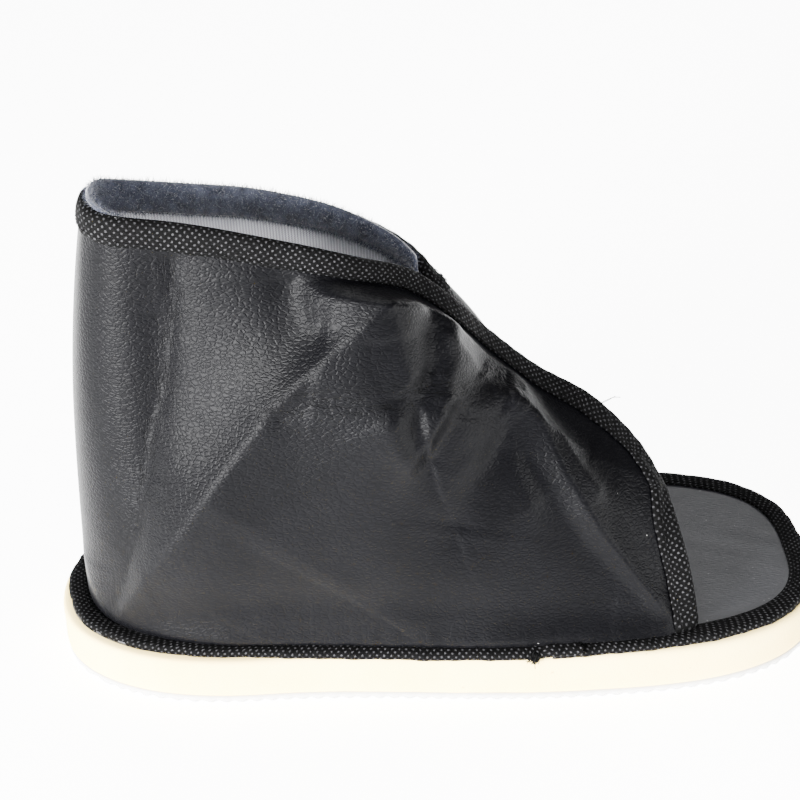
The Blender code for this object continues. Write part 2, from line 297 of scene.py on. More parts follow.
columns, rows = 420, 40
field = sole_field(outsole_inset, columns, rows)
wave = np.cos(2 * np.pi * (field[:, 0] + rib_sway * np.sin(2 * np.pi * field[:, 1] / rib_sway_pitch))
              / rib_pitch)
under = rib_depth * np.clip(0.5 - 0.5 * wave, 0, 1) ** 1.6
outsole = slab("outsole_sheet", field, under, np.full(len(field), outsole_thick), columns, rows,
               rubber_white)
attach(outsole, "root")
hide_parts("outsole")


# Midsole: a slab of cream foam cut to the outline, with softly rounded rims. Closed cells show as
# fine pits, and the cut side is faintly uneven.
midsole_floor = outsole_thick + gap
midsole_top = midsole_floor + midsole_thick

foam_cream, tree, shader = finish("foam_cream", (0.93, 0.86, 0.70), 0.78, Sheen_Weight=0.08)
where = add(tree, "TexCoord").outputs["Object"]
cells = add(tree, "TexVoronoi", {"Vector": where, "Scale": 1400.0})
mottle = noise(tree, where, 28.0, 5.0, 0.6)
tone = ramp(tree, mottle, (0.95, 0.71, 0.22), (0.98, 0.78, 0.31), 0.3, 0.7)
dirt = ramp(tree, noise(tree, where, 260.0, 2.0), (0.55, 0.48, 0.36), (1, 1, 1), 0.20, 0.26)
both = add(tree, "MixRGB", {"Fac": 1.0, "Color1": tone, "Color2": dirt}, blend_type="MULTIPLY")
tree.links.new(both.outputs["Color"], shader.inputs["Base Color"])
bumped(tree, shader, maths(tree, "ADD", cells.outputs["Distance"], mottle), 0.22, 0.0003)


def rings(count, size, closed, start=0):
    """Quads between rings of points, with end caps where the run is open."""
    faces = []
    for i in range(count if closed else count - 1):
        a, b = start + i * size, start + (i + 1) % count * size
        faces += [(a + j, b + j, b + (j + 1) % size, a + (j + 1) % size) for j in range(size)]
    if not closed:
        faces.append(tuple(range(start, start + size)))
        faces.append(tuple(start + (count - 1) * size + j for j in range(size))[::-1])
    return faces


foam_profile = [
    # inset from the outline, height above the slab's floor, both in millimetres
    (2.2, 0.00), (1.2, 0.06), (0.5, 0.35), (0.1, 1.0), (0.0, 2.0), (0.05, 5.0), (0.15, 8.0),
    (0.05, 11.0), (0.0, 13.6), (0.15, 14.9), (0.6, 15.7), (1.3, 16.0), (2.4, 16.1),
]
steps = 560
loops = [outline(inset / 1000, steps) for inset, height in foam_profile]
angle = np.arctan2(loops[0][:, 1], loops[0][:, 0])
cut_in = 0.00024 + waves(angle, [(0.00010, 5, 1), (0.00008, 13, 0), (0.00005, 31, 2)])
centre = loops[0].mean(axis=0)
points = []
for i in range(steps):
    for k, (inset, height) in enumerate(foam_profile):
        spot = loops[k][i] + unit(centre - loops[k][i]) * cut_in[i]
        points.append((*spot, midsole_floor + height / 1000))
size = len(foam_profile)
faces = [(i * size + j, (i + 1) % steps * size + j, (i + 1) % steps * size + j + 1, i * size + j + 1)
         for i in range(steps) for j in range(size - 1)]
faces.append(tuple(i * size for i in range(steps))[::-1])
faces.append(tuple(i * size + size - 1 for i in range(steps)))
midsole = mesh_piece("midsole_foam", points, faces, foam_cream)
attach(midsole, "root")
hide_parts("midsole")


# Insole: a grey coated sheet glued over the whole foam. Its coat has fine creases along the shoe
# and a few pale specks of dust, and it dips a little where a foot has stood.
insole_floor = midsole_top + gap
insole_top = insole_floor + insole_thick

insole_grey, tree, shader = finish("insole_grey", (0.05, 0.05, 0.053), 0.5, Specular_IOR_Level=0.3)
where = add(tree, "TexCoord").outputs["Object"]
drawn = add(tree, "Mapping", {"Vector": where, "Scale": (0.30, 1.0, 1.0)}).outputs[0]
creases = noise(tree, drawn, 900.0, 4.0, 0.65)
pebble = add(tree, "TexVoronoi", {"Vector": drawn, "Scale": 1100.0}, feature="DISTANCE_TO_EDGE")
clouds = noise(tree, where, 24.0, 4.0)
tone = ramp(tree, clouds, (0.0108, 0.0109, 0.0124), (0.0145, 0.0147, 0.0166), 0.35, 0.70)
dust = ramp(tree, noise(tree, where, 620.0, 1.0), (0, 0, 0), (0.05, 0.05, 0.05), 0.76, 0.80)
both = add(tree, "MixRGB", {"Fac": 1.0, "Color1": tone, "Color2": dust}, blend_type="ADD")
tree.links.new(both.outputs["Color"], shader.inputs["Base Color"])
bumped(tree, shader, maths(tree, "ADD", creases, pebble.outputs["Distance"]), 0.28, 0.00035)

columns, rows = 190, 70
field = sole_field(insole_inset, columns, rows)
x, y = field[:, 0] / length, field[:, 1] / ball_width
dip = 0.0003 * np.exp(-((x - 0.22) / 0.16) ** 2 - (y / 0.30) ** 2)
ripple = 0.00008 * np.sin(61 * x + 5 * np.sin(9 * y)) * np.sin(17 * y + 2 * x)
insole = slab("insole_sheet", field, np.full(len(field), insole_floor), insole_top - dip + ripple,
              columns, rows, insole_grey)
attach(insole, "root")
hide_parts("insole")


# Insole binding: black non-woven tape with pale pressed dots, folded round the insole's edge and
# sewn. It starts and ends in a ragged lap on the near side, and hangs a little over the foam there.
tape_width, tape_thick, tape_inset = 0.0085, 0.0012, 0.0018
dot_pitch, dot_size = 0.0026, 0.00040


def off_middle(value, shift):
    """How far a place is from the middle of its cell between dots, in metres."""
    cell = maths(tree, "ADD", maths(tree, "MULTIPLY", value, 1 / dot_pitch), shift)
    side = maths(tree, "SUBTRACT", maths(tree, "FRACT", cell), 0.5)
    return maths(tree, "MULTIPLY", side, dot_pitch)


tape_black, tree, shader = finish("tape_black", (0.01, 0.01, 0.01), 0.8, Specular_IOR_Level=0.03)
where = add(tree, "TexCoord").outputs["Object"]
uv = add(tree, "UVMap", uv_map="tape")
split = add(tree, "SeparateXYZ", {0: uv.outputs[0]})
grids = []
for shift in (0.0, 0.5):
    spot = add(tree, "CombineXYZ", {k: off_middle(split.outputs[k], shift) for k in (0, 1)})
    grids.append(add(tree, "VectorMath", {0: spot.outputs[0]}, operation="LENGTH").outputs["Value"])
nearest = maths(tree, "MINIMUM", *grids)
ragged = maths(tree, "MULTIPLY_ADD", noise(tree, where, 1500.0, 3.0), 0.0008, nearest)
dot = ranged(tree, ragged, dot_size + 0.00050, dot_size + 0.00026, 0.0, 1.0)
hairs = []
for lie in ((0.5, 0.3, 0.7), (-0.7, 0.9, -0.5)):
    drawn = add(tree, "Mapping", {"Vector": where, "Rotation": lie, "Scale": (0.16, 1.0, 1.0)})
    hairs.append(noise(tree, drawn.outputs[0], 3800.0, 3.0))
web = maths(tree, "MAXIMUM", *hairs)
pale = maths(tree, "MULTIPLY", dot, noise(tree, where, 160.0, 3.0))
ground = ramp(tree, web, (0.0004, 0.0004, 0.0004), (0.0035, 0.0035, 0.0037), 0.50, 0.78)
tinted = add(tree, "MixRGB", {"Fac": pale, "Color1": ground, "Color2": (0.040, 0.040, 0.042, 1)})
tree.links.new(tinted.outputs["Color"], shader.inputs["Base Color"])
bumped(tree, shader, maths(tree, "MULTIPLY_ADD", dot, -0.9, web), 0.7, 0.0004)


def rounded(profile, steps):
    """A closed profile of corners turned into a soft one, evenly stepped."""
    ring = np.array(profile)
    for turn in range(2):
        after = np.roll(ring, -1, axis=0)
        ring = np.stack([0.75 * ring + 0.25 * after, 0.25 * ring + 0.75 * after], 1)
        ring = ring.reshape(-1, 2)
    ring = np.concatenate([ring, ring[:1]])
    return spaced(ring, np.linspace(0, 1, steps + 1)[:-1])


def write_uv(made, name, u, v):
    """Writes a UV map, in metres, from values at the mesh's points."""
    layer = made.data.uv_layers.new(name=name)
    index = np.empty(len(made.data.loops), dtype=int)
    made.data.loops.foreach_get("vertex_index", index)
    layer.data.foreach_set("uv", np.stack([u[index], v[index]], 1).ravel())


rim_profile = [
    # inset from the sole's edge, height above the insole, both in millimetres
    (10.3, 0.35), (10.2, 1.35), (6.2, 1.95), (3.0, 1.75), (1.9, 0.9), (1.8, -0.6), (1.9, -1.35),
    (3.0, -1.4), (3.05, 0.3), (6.0, 0.35),
]
rim_shift = [
    # distance from the heel, how far the near side's tape lies out of line, both in millimetres
    (0, -1.5), (40, -1.5), (65, -0.6), (95, 2.0), (140, 2.5), (185, 1.8), (225, 0.6), (250, 0.0),
    (290, -0.5),
]
size = 28
ring = rounded(rim_profile, size)
across = run_along(ring) / 1000
steps = 760
lap_from, lap_run, lap_rise, torn_depth, torn_run = 0.181, 0.0125, 0.00055, 0.0006, 0.0015
inner, outer = outline(tape_inset + tape_width, steps), outline(tape_inset, steps)
wide = np.linalg.norm(np.diff(outline(0, steps), axis=0, append=outline(0, steps)[:1]), axis=1)
start = int(np.argmin(np.abs(outer[: steps // 2, 0] - (lap_from - length / 2))))
order = [(start + i) % steps for i in range(steps + int(lap_run / wide.mean()))]
along = np.concatenate([[0], np.cumsum([wide[i] for i in order[:-1]])])
points = []
for i, s in zip(order, along):
    from_end = along[-1] - s
    raised = lap_rise * (1 + math.tanh((lap_run + 0.001 - from_end) * 800))
    near_side = 0.5 - 0.5 * math.tanh(outer[i][1] * 200)
    shift = near_side * np.interp((outer[i][0] + length / 2) * 1000, *zip(*rim_shift)) / 1000
    sway = waves(s, [(0.00022, 231, 0), (0.00016, 517, 1), (0.0001, 1013, 2)])
    end = min(s, from_end)
    torn = torn_depth * math.exp(-end / torn_run)
    for j, (inset, height) in enumerate(ring):
        t = (inset / 1000 - tape_inset) / tape_width
        spot = outer[i] + (inner[i] - outer[i]) * t
        out = unit(outer[i] - inner[i])
        low = max(1 - t * 2.2, 0)
        push = shift + low * (sway + (0.0004 if raised > 0.9 * lap_rise else 0))
        lift = raised * (height > 0 or t < 0.2) - low * 0.3 * max(shift, 0)
        ragged = torn * math.sin(j * 2.4 + (5 if s < from_end else 1)) * (1 if end < 0.003 else 0)
        points.append((spot[0] + out[0] * push + ragged, spot[1] + out[1] * push,
                       max(insole_top + height / 1000 + lift + 0.3 * ragged, midsole_top - 0.0012)))
rim = mesh_piece("insole_binding_tape", points, rings(len(order), size, False), tape_black)
write_uv(rim, "tape", np.repeat(along, size), np.tile(across, len(along)))
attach(rim, "root")
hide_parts("insole_binding")


# Upper: one loose sheet of charcoal imitation leather, sewn down along the insole's edge and wrapped
# over the instep. It hangs in broad facets from the heel's corner, with creased folds between them.
wall, collar_height, near_corner, far_corner = 0.0024, 0.1834, 0.2350, 0.2260
leather_thick, lining_thick = 0.0012, 0.0009
sag_height, riser, belly_height = 0.0055, 0.0016, 0.55
foot_z = insole_top + gap
rise = collar_height - foot_z
half_ball = ball_width / 2
foot_inset = tape_inset + tape_width + 2.5 * gap
flap_drop = wall + 2 * (tape_thick + gap) + 0.0014
lap_reach, lap_start = 0.150 * length, 0.060 * length

near_rows = [
    # at    along  out    up     belly  sag
    (0.00, 0.083, 0.000, 1.000, 0.080, 0.010),
    (0.09, 0.089, 0.150, 0.999, 0.060, 0.010),
    (0.19, 0.118, 0.290, 0.993, 0.020, 0.035),
    (0.30, 0.200, 0.350, 0.978, 0.030, 0.070),
    (0.42, 0.300, 0.418, 0.946, 0.080, 0.075),
    (0.53, 0.395, 0.410, 0.898, 0.150, 0.075),
    (0.61, 0.472, 0.220, 0.821, 0.220, 0.070),
    (0.67, 0.517, 0.150, 0.742, 0.245, 0.065),
    (0.74, 0.562, 0.020, 0.637, 0.240, 0.055),
    (0.81, 0.624, 0.000, 0.533, 0.215, 0.035),
    (0.88, 0.699, 0.040, 0.447, 0.170, 0.015),
    (0.94, 0.753, 0.140, 0.350, 0.150, 0.010),
    (1.00, 0.783, 0.335, 0.270, 0.130, 0.010),
]
far_rows = [
    # at    along  out    up     belly  sag    lap
    (0.00, 0.083, 0.000, 1.000, 0.080, 0.010, 0.000),
    (0.09, 0.089, 0.150, 0.995, 0.060, 0.010, 0.000),
    (0.19, 0.118, 0.290, 0.975, 0.020, 0.010, 0.000),
    (0.30, 0.200, 0.350, 0.950, 0.030, 0.020, 0.000),
    (0.43, 0.300, 0.410, 0.915, 0.080, 0.025, 0.000),
    (0.54, 0.395, 0.400, 0.865, 0.150, 0.025, 0.000),
    (0.61, 0.450, 0.310, 0.825, 0.210, 0.025, 0.000),
    (0.67, 0.484, 0.210, 0.787, 0.240, 0.025, 0.018),
    (0.73, 0.513, 0.130, 0.735, 0.250, 0.025, 0.055),
    (0.80, 0.540, 0.110, 0.675, 0.220, 0.020, 0.095),
    (0.87, 0.570, 0.100, 0.595, 0.180, 0.010, 0.110),
    (0.94, 0.598, 0.080, 0.525, 0.140, 0.010, 0.112),
    (1.00, 0.625, 0.060, 0.460, 0.110, 0.010, 0.108),
]
near_columns, far_columns, tall_rows = 215, 105, 130


def between(u, h, start, stop, slope, next_slope):
    """A place on a smooth curve of width h between two values with their slopes."""
    return ((1 + 2 * u) * (1 - u) ** 2 * start + u * (1 - u) ** 2 * h * slope
            + u * u * (3 - 2 * u) * stop + u * u * (u - 1) * h * next_slope)


def column(table, index, at):
    """One column of a table, read smoothly between its rows."""
    t = np.array([row[0] for row in table])
    y = np.array([row[index] for row in table])
    slope = np.gradient(y, t)
    k = int(np.clip(np.searchsorted(t, at) - 1, 0, len(t) - 2))
    h = t[k + 1] - t[k]
    return between((at - t[k]) / h, h, y[k], y[k + 1], slope[k], slope[k + 1])


def smooth_curve(points, count, corner=None, beyond=0.0):
    """An evenly spaced line of count points that runs smoothly through the given ones.
    With a corner, the line ends a stated way beyond that point."""
    between_points = 40
    pts = np.array(points)
    chord = np.linalg.norm(np.diff(pts, axis=0), axis=1) ** 0.5
    t = np.concatenate([[0], np.cumsum(chord)])
    slope = np.gradient(pts, t, axis=0, edge_order=2 if len(pts) > 2 else 1)
    fine = []
    for k in range(len(pts) - 1):
        u = np.linspace(0, 1, between_points, endpoint=False)[:, None]
        fine.append(between(u, t[k + 1] - t[k], pts[k], pts[k + 1], slope[k], slope[k + 1]))
    fine.append(pts[-1:])
    line = np.concatenate(fine)
    if corner is None:
        return spaced(line, np.linspace(0, 1, count))
    run = run_along(line)
    kept = (run[between_points * corner] + beyond) / run[-1]
    return spaced(line, np.linspace(0, min(kept, 1), count))


def foot_point(at, corner, side):
    """Where the wall stands on the insole, and the way out of the shoe there."""
    line = side_line(foot_inset, 800)
    step = run_along(line)
    reach = np.interp(corner, line[:, 0], step) * at
    x, y = (np.interp(reach, step, line[:, k]) for k in range(2))
    k = int(np.clip(np.searchsorted(step, reach), 1, len(step) - 2))
    run = unit(line[k + 1] - line[k - 1])
    return np.array([x - length / 2, -side * y, foot_z]), np.array([run[1], side * run[0], 0])


def section(table, at, corner, side):
    """Foot, riser, sag, belly and top of one section. side is -1 for near and +1 for far."""
    foot, out = foot_point(at, corner, side)
    if at == 0:
        out = np.array([-1.0, 0, 0])
    top = np.array([(column(table, 1, at) - 0.5) * length, side * column(table, 2, at) * half_ball,
                    foot_z + column(table, 3, at) * rise])
    chord = unit(top - foot)
    push = unit(out - chord * out.dot(chord))
    belly = foot + belly_height * (top - foot) + push * column(table, 4, at) * half_ball
    sag = foot + np.array([0, 0, sag_height]) + out * column(table, 5, at) * half_ball
    return foot, foot + np.array([0, 0, riser]), sag, belly, top


def normals(grid):
    """Unit normals of a grid of points, out of the shoe on the far side's winding."""
    return -unit(np.cross(np.gradient(grid, axis=0), np.gradient(grid, axis=1)))


near_grid = np.array([smooth_curve(section(near_rows, at, near_corner, -1), tall_rows)
                      for at in np.linspace(0, 1, near_columns)])
under_near = normals(near_grid)
edge_x = near_grid[:, -1, 0]
far_grid = []
for at in np.linspace(0, 1, far_columns):
    points = list(section(far_rows, at, far_corner, 1))
    lap = max(column(far_rows, 6, at) * length, 0)
    line = smooth_curve(points, tall_rows)
    if lap > 0:
        i = int(np.searchsorted(edge_x, points[-1][0]))
        tall = np.linalg.norm(np.diff(near_grid[i], axis=0), axis=1).sum()
        for down in (0.3, 1.0):
            j = int(round((1 - down * lap_reach / tall) * (tall_rows - 1)))
            points.append(near_grid[i, j] + under_near[i, j] * flap_drop)
        share = eased(min(lap / lap_start, 1))
        line = (1 - share) * line + share * smooth_curve(points, tall_rows, 4, lap)
    far_grid.append(line)
sheet = np.concatenate([near_grid[::-1], np.array(far_grid)[1:]])
close = np.linspace(0, 1, tall_rows)
close = close - 0.1 * np.sin(2 * np.pi * close)
sheet = np.array([spaced(line, close) for line in sheet])
sheet_out = normals(sheet)

# Folds of the near side, along lines of (distance from the heel, height above the floor).
# lift: how far the fold stands out of the sheet, or in where it is negative. left, right: how wide
# its flanks are on each side of the line, seen along it. soft: how round its crest is. grow: how far
# from its start it fans out to its full size. All in millimetres.
heel_crease = [(20, 22), (28, 43), (36, 72), (43, 109), (49, 124), (53, 150), (55, 176)]
instep_crease = [(88, 117), (100, 124), (114, 122), (130, 122), (145, 118), (161, 112), (170, 106)]
near_folds = [
    # lift   left   right  soft  grow  line
    (12.5,   20.0,  80.0,  0.5,  85,   [(21, 20), (38, 50), (58, 80), (87, 119), (106, 139), (124, 155)]),
    (-2.2,   9.0,   3.5,   0.6,  60,   heel_crease),
    (-2.0,   9.0,   6.0,   4.0,  0,    [(41, 88), (45, 118), (47, 150)]),
    (-4.6,   8.0,   13.0,  5.0,  0,    [(94, 164), (95, 154), (99, 145), (105, 144)]),
    (7.0,    20.0,  8.0,   3.0,  0,    [(119, 162), (122, 148), (125, 136), (129, 124)]),
    (-3.6,   6.0,   6.0,   3.0,  0,    [(136, 158), (137, 148), (136, 134), (136, 124)]),
    (3.6,    6.0,   6.0,   3.0,  0,    [(145, 148), (144, 130), (141, 114)]),
    (-4.0,   7.0,   7.0,   3.5,  0,    [(152, 136), (154, 126), (155, 117)]),
    (6.0,    7.0,   8.0,   2.5,  0,    [(122, 116), (125, 107), (130, 99), (135, 103), (141, 113)]),
    (-4.5,   6.0,   6.0,   2.5,  0,    [(146, 112), (142, 105), (137, 96)]),
    (-1.0,   3.0,   3.0,   0.6,  0,    instep_crease),
    (10.0,   11.0,  11.0,  0.6,  60,   [(231, 22), (213, 42), (197, 61), (183, 80), (173, 97), (163, 108)]),
    (-3.8,   8.0,   8.0,   2.0,  40,   [(215, 35), (193, 57), (176, 80), (163, 98)]),
    (3.4,    5.0,   5.0,   1.0,  0,    [(170, 106), (181, 93), (189, 81), (198, 70)]),
    (2.6,    8.0,   8.0,   2.0,  0,    [(165, 98), (167, 85), (173, 71)]),
    (-4.0,   10.0,  10.0,  4.0,  0,    [(160, 96), (153, 85), (148, 69)]),
    (3.4,    5.0,   5.0,   1.4,  0,    [(142, 150), (150, 141), (157, 131), (164, 122), (169, 114),
                                        (172, 105)]),
    (-3.2,   9.0,   9.0,   4.0,  0,    [(184, 104), (193, 94), (202, 84)]),
    (2.6,    6.0,   5.0,   0.8,  0,    [(12, 44), (15, 34), (20, 22)]),
    (-2.0,   12.0,  12.0,  6.0,  0,    [(40, 34), (80, 42), (120, 42), (165, 36), (205, 30)]),
]


def fold_depth(x, z, line, left, right, soft, grow=0):
    """How strongly a fold acts at each place: 1 on its line, falling off over its two flanks."""
    line = np.array(line, dtype=float)
    run = run_along(line)
    near = np.full(x.shape, 1e9)
    place = np.zeros(x.shape)
    reach = np.full(x.shape, float(left))
    for (ax, az), (bx, bz), start, stop in zip(line, line[1:], run, run[1:]):
        wide = stop - start
        t = np.clip(((x - ax) * (bx - ax) + (z - az) * (bz - az)) / wide ** 2, 0, 1)
        d = np.hypot(x - ax - t * (bx - ax), z - az - t * (bz - az))
        side = (bx - ax) * (z - az) - (bz - az) * (x - ax)
        reach = np.where(d < near, np.where(side > 0, left, right), reach)
        place = np.where(d < near, start + t * wide, place)
        near = np.minimum(near, d)
    full = np.clip((place + 8) / grow, 0.12, 1) if grow else 1.0
    open_start = np.inf if grow else place
    ends = eased(np.clip((np.minimum(open_start, run[-1] - place) + 0.35 * reach) / (0.6 * reach), 0, 1))
    return full * np.exp(-(np.sqrt(near ** 2 + soft ** 2) - soft) / (reach * full)) * (0.35 + 0.65 * ends)


edge_gap = np.linalg.norm(sheet - sheet[:, -1:], axis=2) * 1000
front_gap = np.minimum(np.linalg.norm(sheet - sheet[:1], axis=2), 1) * 1000
foot_gap = (sheet[:, :, 2] - foot_z) * 1000
x = (sheet[:, :, 0] + length / 2) * 1000
z = sheet[:, :, 2] * 1000
tape_mm, edge_fade, foot_fade = tape_width * 1000, 7, 14
fade = eased(np.clip((np.minimum(edge_gap, front_gap) - 0.75 * tape_mm) / edge_fade, 0, 1))
fade *= np.clip(foot_gap / foot_fade, 0, 1) ** 0.7
is_near = (np.arange(len(sheet)) < near_columns)[:, None] * np.ones(tall_rows)
round_heel = np.clip(-sheet[:, :, 1] / 0.022, 0, 1) ** 1.5
move = np.zeros(x.shape)
for lift, left_flank, right_flank, soft, grow, line in near_folds:
    move += lift * fold_depth(x, z, line, left_flank, right_flank, soft, grow)
move *= is_near * round_heel * fade

crackled = [("crackle_up", heel_crease), ("crackle_along", instep_crease)]
crackle = {mark: fold_depth(x, z, line, 2.6, 2.6, 2.0) * is_near * round_heel for mark, line in crackled}

sheet = sheet + sheet_out * (move / 1000)[:, :, None]

# The slack that gathers along the seam and hangs over the tape, by distance from the heel.
slack = [
    # from the heel, out over the tape, both in millimetres
    (0, 0.0), (18, 0.4), (30, 2.2), (50, 4.2), (75, 6.0), (120, 7.8), (165, 8.0), (182, 7.4), (205, 7.6),
    (225, 6.4), (232, 3.4), (240, 0.0),
]
seam = run_along(sheet[:, 0])[:, None] * 1000
gather = (0.5 * np.sin(seam * 0.53 + 0.8 * np.sin(seam * 0.17)) + 0.35 * np.sin(seam * 0.91 + 1.3)
          + 0.25 * np.sin(seam * 1.63 + 0.4))
hang = np.interp(x[:, :1], *zip(*slack)) * is_near[:, :1]
low_rise = eased(np.clip((foot_gap - 0.9 - 0.2 * gather * hang / 8) / 1.3, 0, 1))
taut = sheet
over_tape = hang * (1 + 0.04 * gather) * low_rise * np.exp(-np.clip(foot_gap - 2.2, 0, None) / 6.0)
level = sheet_out * (1, 1, 0)
level /= np.linalg.norm(level, axis=2)[:, :, None] + 1e-9
sheet = sheet + level * (over_tape / 1000)[:, :, None]
sheet_out = normals(sheet)

leather, tree, shader = finish("leather_charcoal", (0.002, 0.002, 0.0023), 0.38, Specular_IOR_Level=0.030)
where = add(tree, "TexCoord").outputs["Object"]
drift = add(tree, "TexNoise", {"Vector": where, "Scale": 210.0, "Detail": 2.0})
shift = add(tree, "VectorMath", {0: drift.outputs["Color"], 1: (0.5, 0.5, 0.5)}, operation="SUBTRACT")
moved = add(tree, "VectorMath", {0: shift.outputs[0], 1: (0.0007, 0.0007, 0.0007), 2: where},
            operation="MULTIPLY_ADD").outputs[0]
drawn = add(tree, "Mapping", {"Vector": moved, "Scale": (0.55, 0.8, 1.0)}).outputs[0]
grain = add(tree, "TexVoronoi", {"Vector": drawn, "Scale": 780.0}, feature="DISTANCE_TO_EDGE")
pebble = ranged(tree, grain.outputs["Distance"], 0.0, 0.24, 0.0, 1.0, interpolation_type="SMOOTHSTEP")
fine = noise(tree, drawn, 2600.0, 3.0)
patches = noise(tree, where, 45.0, 3.0)
worked = maths(tree, "MULTIPLY", pebble, ranged(tree, patches, 0.35, 0.65, 0.75, 1.0))
cracks = 0.0
for mark, drawn_out, depth in (("crackle_up", (1.0, 1.0, 0.13), -1.0),
                               ("crackle_along", (0.13, 1.0, 1.0), -1.9)):
    pulled = add(tree, "Mapping", {"Vector": moved, "Scale": drawn_out})
    middle = maths(tree, "SUBTRACT", noise(tree, pulled.outputs[0], 520.0, 2.0), 0.5)
    line = ranged(tree, maths(tree, "ABSOLUTE", middle), 0.0, 0.045, depth, 0.0)
    mask = add(tree, "Attribute", attribute_name=mark)
    cracks = maths(tree, "MULTIPLY_ADD", line, mask.outputs["Fac"], cracks)
height = maths(tree, "MULTIPLY_ADD", fine, 0.25, worked)
deep = maths(tree, "MULTIPLY_ADD", cracks, 1.7, height)
bumped(tree, shader, deep, 0.30, 0.00036)
tone = ramp(tree, patches, (0.0012, 0.0012, 0.0015), (0.0017, 0.0017, 0.0021), 0.3, 0.72)
# The patchy tone is darkened in the grain's hollows and along the crackle lines, and lightened a little on
# the pebble tops: painted shade. Real pale dust specks go over it.
sunk = ranged(tree, deep, -1.2, 0.9, 0.45, 1.08)
shaded = add(tree, "VectorMath", {0: tone, "Scale": sunk}, operation="SCALE")
dust = add(tree, "TexVoronoi", {"Vector": where, "Scale": 95.0})
mote = ranged(tree, dust.outputs["Distance"], 0.022, 0.014, 0.0, 1.0)
chance = add(tree, "SeparateXYZ", {0: dust.outputs["Color"]})
speck = maths(tree, "MULTIPLY", mote, maths(tree, "GREATER_THAN", chance.outputs[0], 0.90))
dust_over_painted_shade = add(tree, "MixRGB", {"Fac": speck, "Color1": shaded.outputs[0], "Color2": (0.25, 0.25, 0.24, 1)})
tree.links.new(dust_over_painted_shade.outputs["Color"], shader.inputs["Base Color"])
tree.links.new(ranged(tree, fine, 0.2, 0.8, 0.35, 0.44), shader.inputs["Roughness"])

stops, rows = len(sheet), tall_rows
faces = [(i * rows + j, i * rows + j + 1, (i + 1) * rows + j + 1, (i + 1) * rows + j)
         for i in range(stops - 1) for j in range(rows - 1)]
upper = mesh_piece("upper_leather", sheet.reshape(-1, 3), faces, leather)
for mark, values in crackle.items():
    marks = upper.data.attributes.new(mark, "FLOAT", "POINT")
    marks.data.foreach_set("value", values.ravel())
walled(upper, leather_thick)
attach(upper, "root")
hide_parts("upper")


# Edge binding: the same tape folded over the upper's free edge, from the near flap's foot up its
# front, round the collar and out of sight beneath the flap, with a second length up the far front.
points_flat, ways_flat = sheet.reshape(-1, 3), sheet_out.reshape(-1, 3)


def grid_point(grid, u, v):
    """A point of a grid at shares u and v."""
    a = np.clip(u, 0, 1) * (grid.shape[0] - 1)
    b = np.clip(v, 0, 1) * (grid.shape[1] - 1)
    i, j = min(int(a), grid.shape[0] - 2), min(int(b), grid.shape[1] - 2)
    a, b = a - i, b - j
    return ((1 - a) * (1 - b) * grid[i, j] + a * (1 - b) * grid[i + 1, j]
            + (1 - a) * b * grid[i, j + 1] + a * b * grid[i + 1, j + 1])


leather_tree = KDTree(len(points_flat))
for i, spot in enumerate(points_flat):
    leather_tree.insert(spot, i)
leather_tree.balance()


def on_sheet(place, way):
    """A place dropped onto the sheet, and the sheet's normal there, on the layer that faces way."""
    near = [(i, d) for spot, i, d in leather_tree.find_n(place, 24) if ways_flat[i] @ way > 0.3][:6]
    index = [i for i, d in near]
    weight = 1 / (np.array([d for i, d in near]) + 0.0003)
    weight /= weight.sum()
    spot, way = weight @ points_flat[index], unit(weight @ ways_flat[index])
    return place - way * way.dot(place - spot), way


def softened(values, times):
    """Rows averaged with their neighbours a number of times, the ends kept."""
    for turn in range(times):
        values[1:-1] = (values[:-2] + values[1:-1] + values[2:]) / 3
    return values


def edge_line(shares, step):
    """Even steps along the free edge, given as a list of (u, v): places, normals, ways in, distances."""
    line = np.array([grid_point(sheet, u, v) for u, v in shares])
    run = run_along(line)
    even = np.arange(0, run[-1], step)
    spots = np.column_stack([np.interp(even, run, line[:, k]) for k in range(3)])
    outs = np.array([grid_point(sheet_out, u, v) for u, v in shares])
    outs = np.column_stack([np.interp(even, run, outs[:, k]) for k in range(3)])
    outs = unit(softened(outs, 6))
    into = unit(np.cross(outs, softened(np.gradient(spots, axis=0), 4)))
    return spots, outs, into, even


near_width = [
    # distance from the heel, the tape's width on the near side, both in millimetres
    (0, 9.0), (60, 8.6), (100, 7.6), (125, 6.9), (150, 6.9), (180, 8.3), (215, 9.6), (240, 9.6),
]
ring_step = 0.0011


